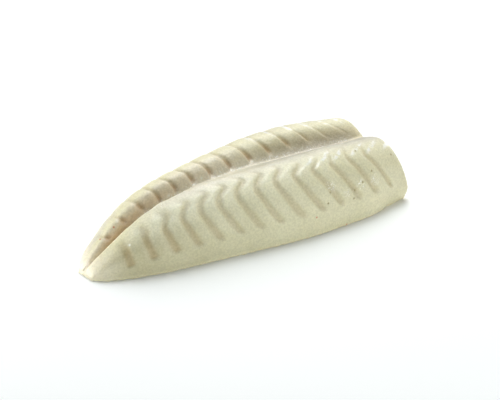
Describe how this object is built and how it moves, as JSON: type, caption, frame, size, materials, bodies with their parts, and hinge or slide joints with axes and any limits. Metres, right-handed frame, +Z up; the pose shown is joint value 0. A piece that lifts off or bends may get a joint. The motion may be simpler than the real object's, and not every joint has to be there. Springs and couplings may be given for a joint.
{
  "type": "pureed matjes herring",
  "caption": "Moulded pureed herring portion shaped as a double fillet: two grooved lobes along a shallow valley, narrow tail, broad end, flat base.",
  "frame": {"origin": "middle of the flat underside", "axes": "+X from the narrow tail towards the broad end, +Z up"},
  "size_m": [0.13, 0.0516, 0.026],
  "materials": {
    "fish_puree": "moist, fine-grained, with a soft sheen"
  },
  "bodies": {
    "root": {"herring_puree": "fish_puree"}
  },
  "joints": []
}
